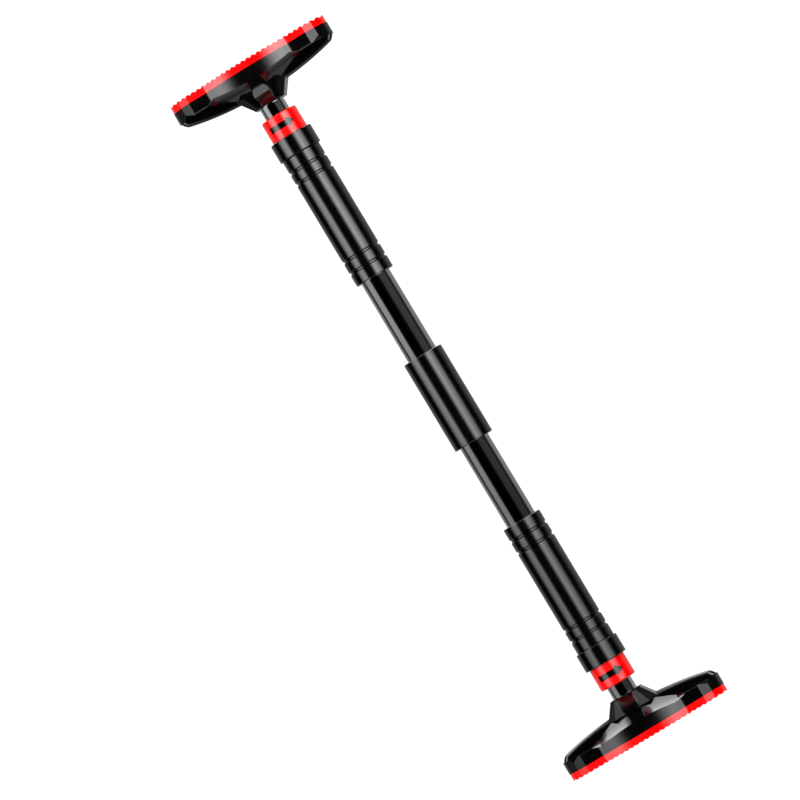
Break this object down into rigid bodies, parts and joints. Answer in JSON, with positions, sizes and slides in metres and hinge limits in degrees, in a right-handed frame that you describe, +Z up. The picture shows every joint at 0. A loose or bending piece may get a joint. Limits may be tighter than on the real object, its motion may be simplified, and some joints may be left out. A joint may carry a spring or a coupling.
{
  "type": "pull up bar",
  "caption": "Screw-driven doorway pull up bar: tube with moulded grips, ribbed jamb pads on long feet, and quarter-turn lock collars.",
  "frame": {"origin": "middle of the bar, on the bar axis, at the shipped setting of 787 mm over the pads", "axes": "+X along the bar towards the right foot, +Z up along the feet (the height of the jamb), +Y through the doorway, away from the face that shows the arrows"},
  "size_m": [0.7866, 0.075, 0.1802],
  "materials": {
    "dark_tube": "dark polished",
    "sleeve_rubber": "satin",
    "grip_rubber": "satin",
    "black_plastic": "satin",
    "foot_plastic": "satin",
    "arrow_black": "gloss",
    "red_plastic": "gloss",
    "red_rubber": "satin",
    "bright_shaft": "polished",
    "steel": "zinc plated",
    "brass_nut": "machined",
    "bush_plastic": "natural acetal"
  },
  "bodies": {
    "bar": {"main_tube": "dark_tube", "centre_sleeve": "sleeve_rubber", "centre_anchor": "steel", "anchor_pins": "steel", "left_grip": "grip_rubber", "left_end_cap": "black_plastic", "left_screw_rod": "steel", "left_rod_stop": "steel", "left_snap_ring": "steel", "right_grip": "grip_rubber", "right_end_cap": "black_plastic", "right_screw_rod": "steel", "right_rod_stop": "steel", "right_snap_ring": "steel"},
    "left_clamp_bush": {"left_clamp_bush": "bush_plastic"},
    "left_lock_collar": {"left_lock_collar": "red_plastic", "left_lock_arrow": "arrow_black"},
    "left_foot": {"left_shaft": "bright_shaft", "left_drive_nut": "brass_nut", "left_nut_pins": "steel", "left_shaft_plug": "steel", "left_hub_washer": "steel", "left_hub_bolt": "steel", "left_foot_shell": "foot_plastic", "left_backing_plate": "steel", "left_plate_screws": "steel", "left_pad": "red_rubber"},
    "right_clamp_bush": {"right_clamp_bush": "bush_plastic"},
    "right_lock_collar": {"right_lock_collar": "red_plastic", "right_lock_arrow": "arrow_black"},
    "right_foot": {"right_shaft": "bright_shaft", "right_drive_nut": "brass_nut", "right_nut_pins": "steel", "right_shaft_plug": "steel", "right_hub_washer": "steel", "right_hub_bolt": "steel", "right_foot_shell": "foot_plastic", "right_backing_plate": "steel", "right_plate_screws": "steel", "right_pad": "red_rubber"}
  },
  "joints": [
    {"name": "left_screw_turn", "type": "hinge", "parent": "bar", "child": "left_clamp_bush", "pos_m": [-0.315, 0, 0], "axis": [1, 0, 0], "range_deg": [-1080, 8640]},
    {"name": "left_foot_slide", "type": "slide", "parent": "left_clamp_bush", "child": "left_foot", "axis": [-1, 0, 0], "range_m": [-0.0121, 0.0961]},
    {"name": "left_lock_turn", "type": "hinge", "parent": "bar", "child": "left_lock_collar", "pos_m": [-0.319, 0, 0], "axis": [1, 0, 0], "range_deg": [0, 90]},
    {"name": "right_screw_turn", "type": "hinge", "parent": "bar", "child": "right_clamp_bush", "pos_m": [0.315, 0, 0], "axis": [1, 0, 0], "range_deg": [-1080, 8640]},
    {"name": "right_foot_slide", "type": "slide", "parent": "right_clamp_bush", "child": "right_foot", "axis": [1, 0, 0], "range_m": [-0.0121, 0.0961]},
    {"name": "right_lock_turn", "type": "hinge", "parent": "bar", "child": "right_lock_collar", "pos_m": [0.319, 0, 0], "axis": [1, 0, 0], "range_deg": [0, 90]}
  ],
  "couplings": [
    {"joint": "left_foot_slide", "follows": "left_screw_turn", "m_per_rad": 0.00063662},
    {"joint": "right_foot_slide", "follows": "right_screw_turn", "m_per_rad": 0.00063662}
  ]
}
